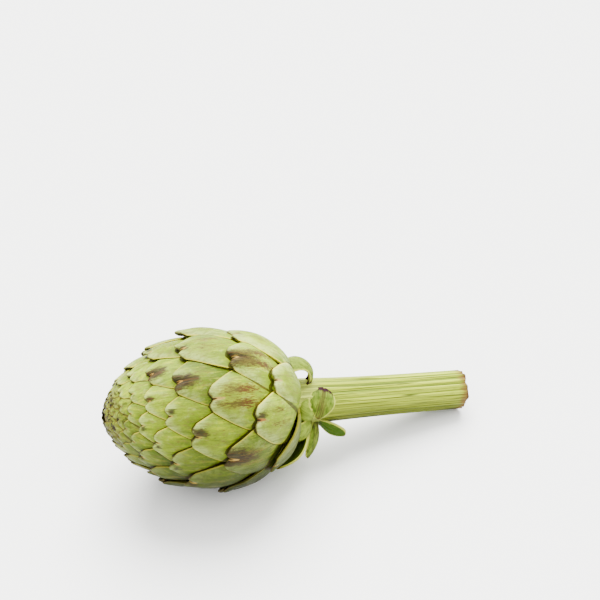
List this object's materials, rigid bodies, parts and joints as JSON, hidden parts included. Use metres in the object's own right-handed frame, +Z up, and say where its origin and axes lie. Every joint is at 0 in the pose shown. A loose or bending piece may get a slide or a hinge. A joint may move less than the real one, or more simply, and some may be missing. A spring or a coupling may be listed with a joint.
{
  "type": "artichoke",
  "caption": "Whole globe artichoke as picked, lying on its side: an egg-shaped head of overlapping two-lobed bracts on a straight ribbed stem, with a few loose bracts round the neck.",
  "frame": {"origin": "on the surface that the artichoke lies on, in the middle of the flat spot under the head's belly", "axes": "+Z up, the plant's axis in the XZ plane with the apex towards -X and the cut end of the stem towards +X and down, +Y to the left of the way the stem points"},
  "size_m": [0.2052, 0.0869, 0.0869],
  "materials": {
    "bracts": "matte sage green plant skin with a pale waxy bloom, thin pale margins and brown stains at the tips",
    "stem": "satin pale green ribbed stalk with a brown dried cut"
  },
  "bodies": {
    "root": {"head": "bracts", "stem": "stem"}
  },
  "joints": []
}
